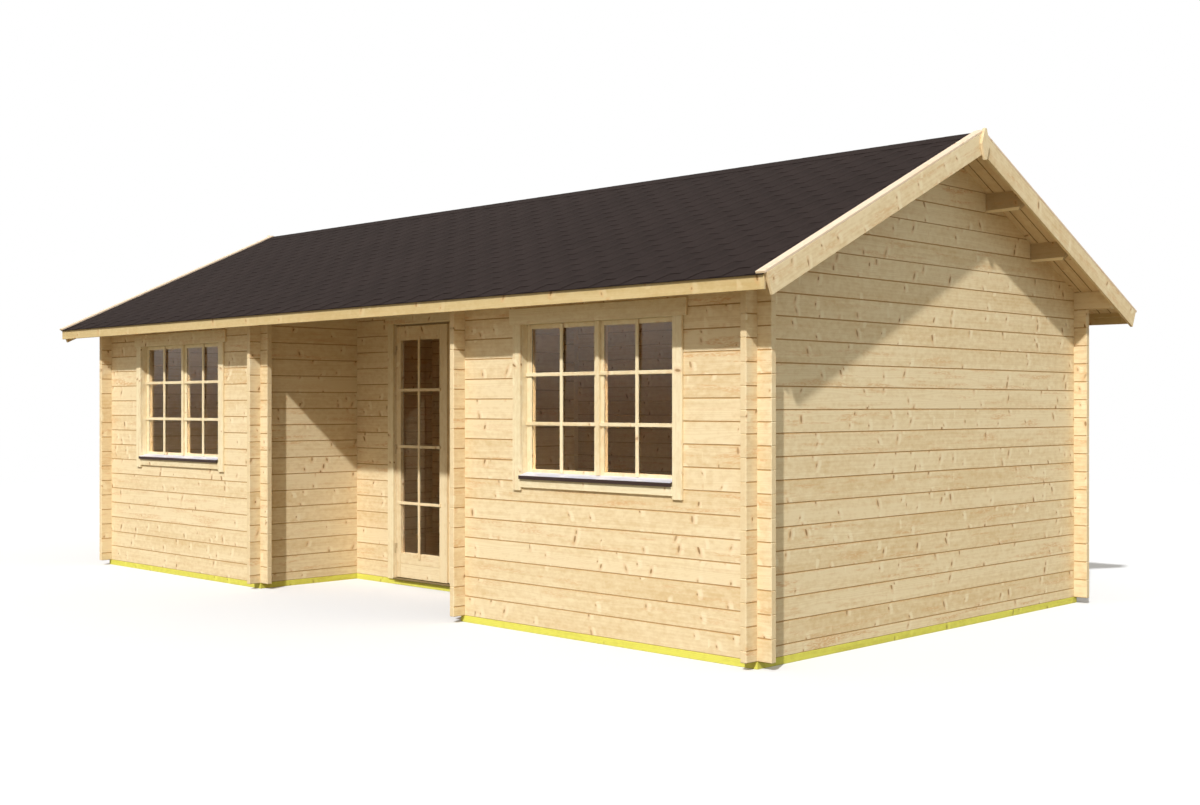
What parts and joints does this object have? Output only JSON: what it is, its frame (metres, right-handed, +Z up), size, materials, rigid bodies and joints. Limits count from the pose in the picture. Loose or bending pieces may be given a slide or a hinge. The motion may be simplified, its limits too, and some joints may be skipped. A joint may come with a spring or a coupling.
{
  "type": "log cabin",
  "caption": "Log cabin with two rooms beside a recessed porch, double glazed doors, wide sash windows and a low gabled shingle roof.",
  "frame": {"origin": "on the ground, under the middle of the plan", "axes": "+X along the ridge, towards the right gable; the porch and windows face -Y; +Z up"},
  "size_m": [8.3586, 4.5534, 3.2712],
  "materials": {
    "log": "planed pale spruce, untreated, with small knots",
    "roof_board": "planed pale spruce boards",
    "floor_wood": "planed pale spruce boards",
    "joinery": "planed and sanded pale spruce",
    "treated_beam": "sawn softwood, pressure treated, yellow-green",
    "threshold": "oiled dark hardwood",
    "shingle": "mineral-faced bitumen shingles, dark brown",
    "glass": "clear sheet glass",
    "sill": "dark coated folded sheet",
    "hinge": "zinc-plated steel"
  },
  "bodies": {
    "cabin": {"barge_caps": "joinery", "door_casing": "joinery", "door_frame": "joinery", "door_frame_hinges": "hinge", "door_threshold": "threshold", "eave_laths": "joinery", "fascia_front": "joinery", "fascia_rear": "joinery", "floor_deck": "floor_wood", "floor_joists": "floor_wood", "foundation_beams": "treated_beam", "front_eave_log": "log", "front_wall_left": "log", "front_wall_right": "log", "left_barge_boards": "joinery", "left_gable_wall": "log", "lower_purlins": "log", "peak_plates": "joinery", "porch_back_wall_left": "log", "porch_back_wall_right": "log", "porch_back_wall_top": "log", "porch_left_wall": "log", "porch_right_wall": "log", "rear_eave_log": "log", "rear_wall": "log", "ridge_purlin": "log", "right_barge_boards": "joinery", "right_gable_wall": "log", "roof_boards_front": "roof_board", "roof_boards_rear": "roof_board", "shingles_front": "shingle", "shingles_rear": "shingle", "upper_purlins": "log", "window_casings": "joinery", "window_frames": "joinery", "window_panes": "glass", "window_sashes": "joinery", "window_sills": "sill"},
    "door_left_leaf": {"door_left_leaf": "joinery", "door_left_pane": "glass", "door_left_hinges": "hinge"},
    "door_right_leaf": {"door_right_leaf": "joinery", "door_right_pane": "glass", "door_right_hinges": "hinge"}
  },
  "joints": [
    {"name": "left_door_hinge", "type": "hinge", "parent": "cabin", "child": "door_left_leaf", "pos_m": [-0.715, -0.9875, 1], "axis": [0, 0, -1], "range_deg": [0, 110]},
    {"name": "right_door_hinge", "type": "hinge", "parent": "cabin", "child": "door_right_leaf", "pos_m": [0.715, -0.9875, 1], "axis": [0, 0, 1], "range_deg": [0, 110]}
  ]
}
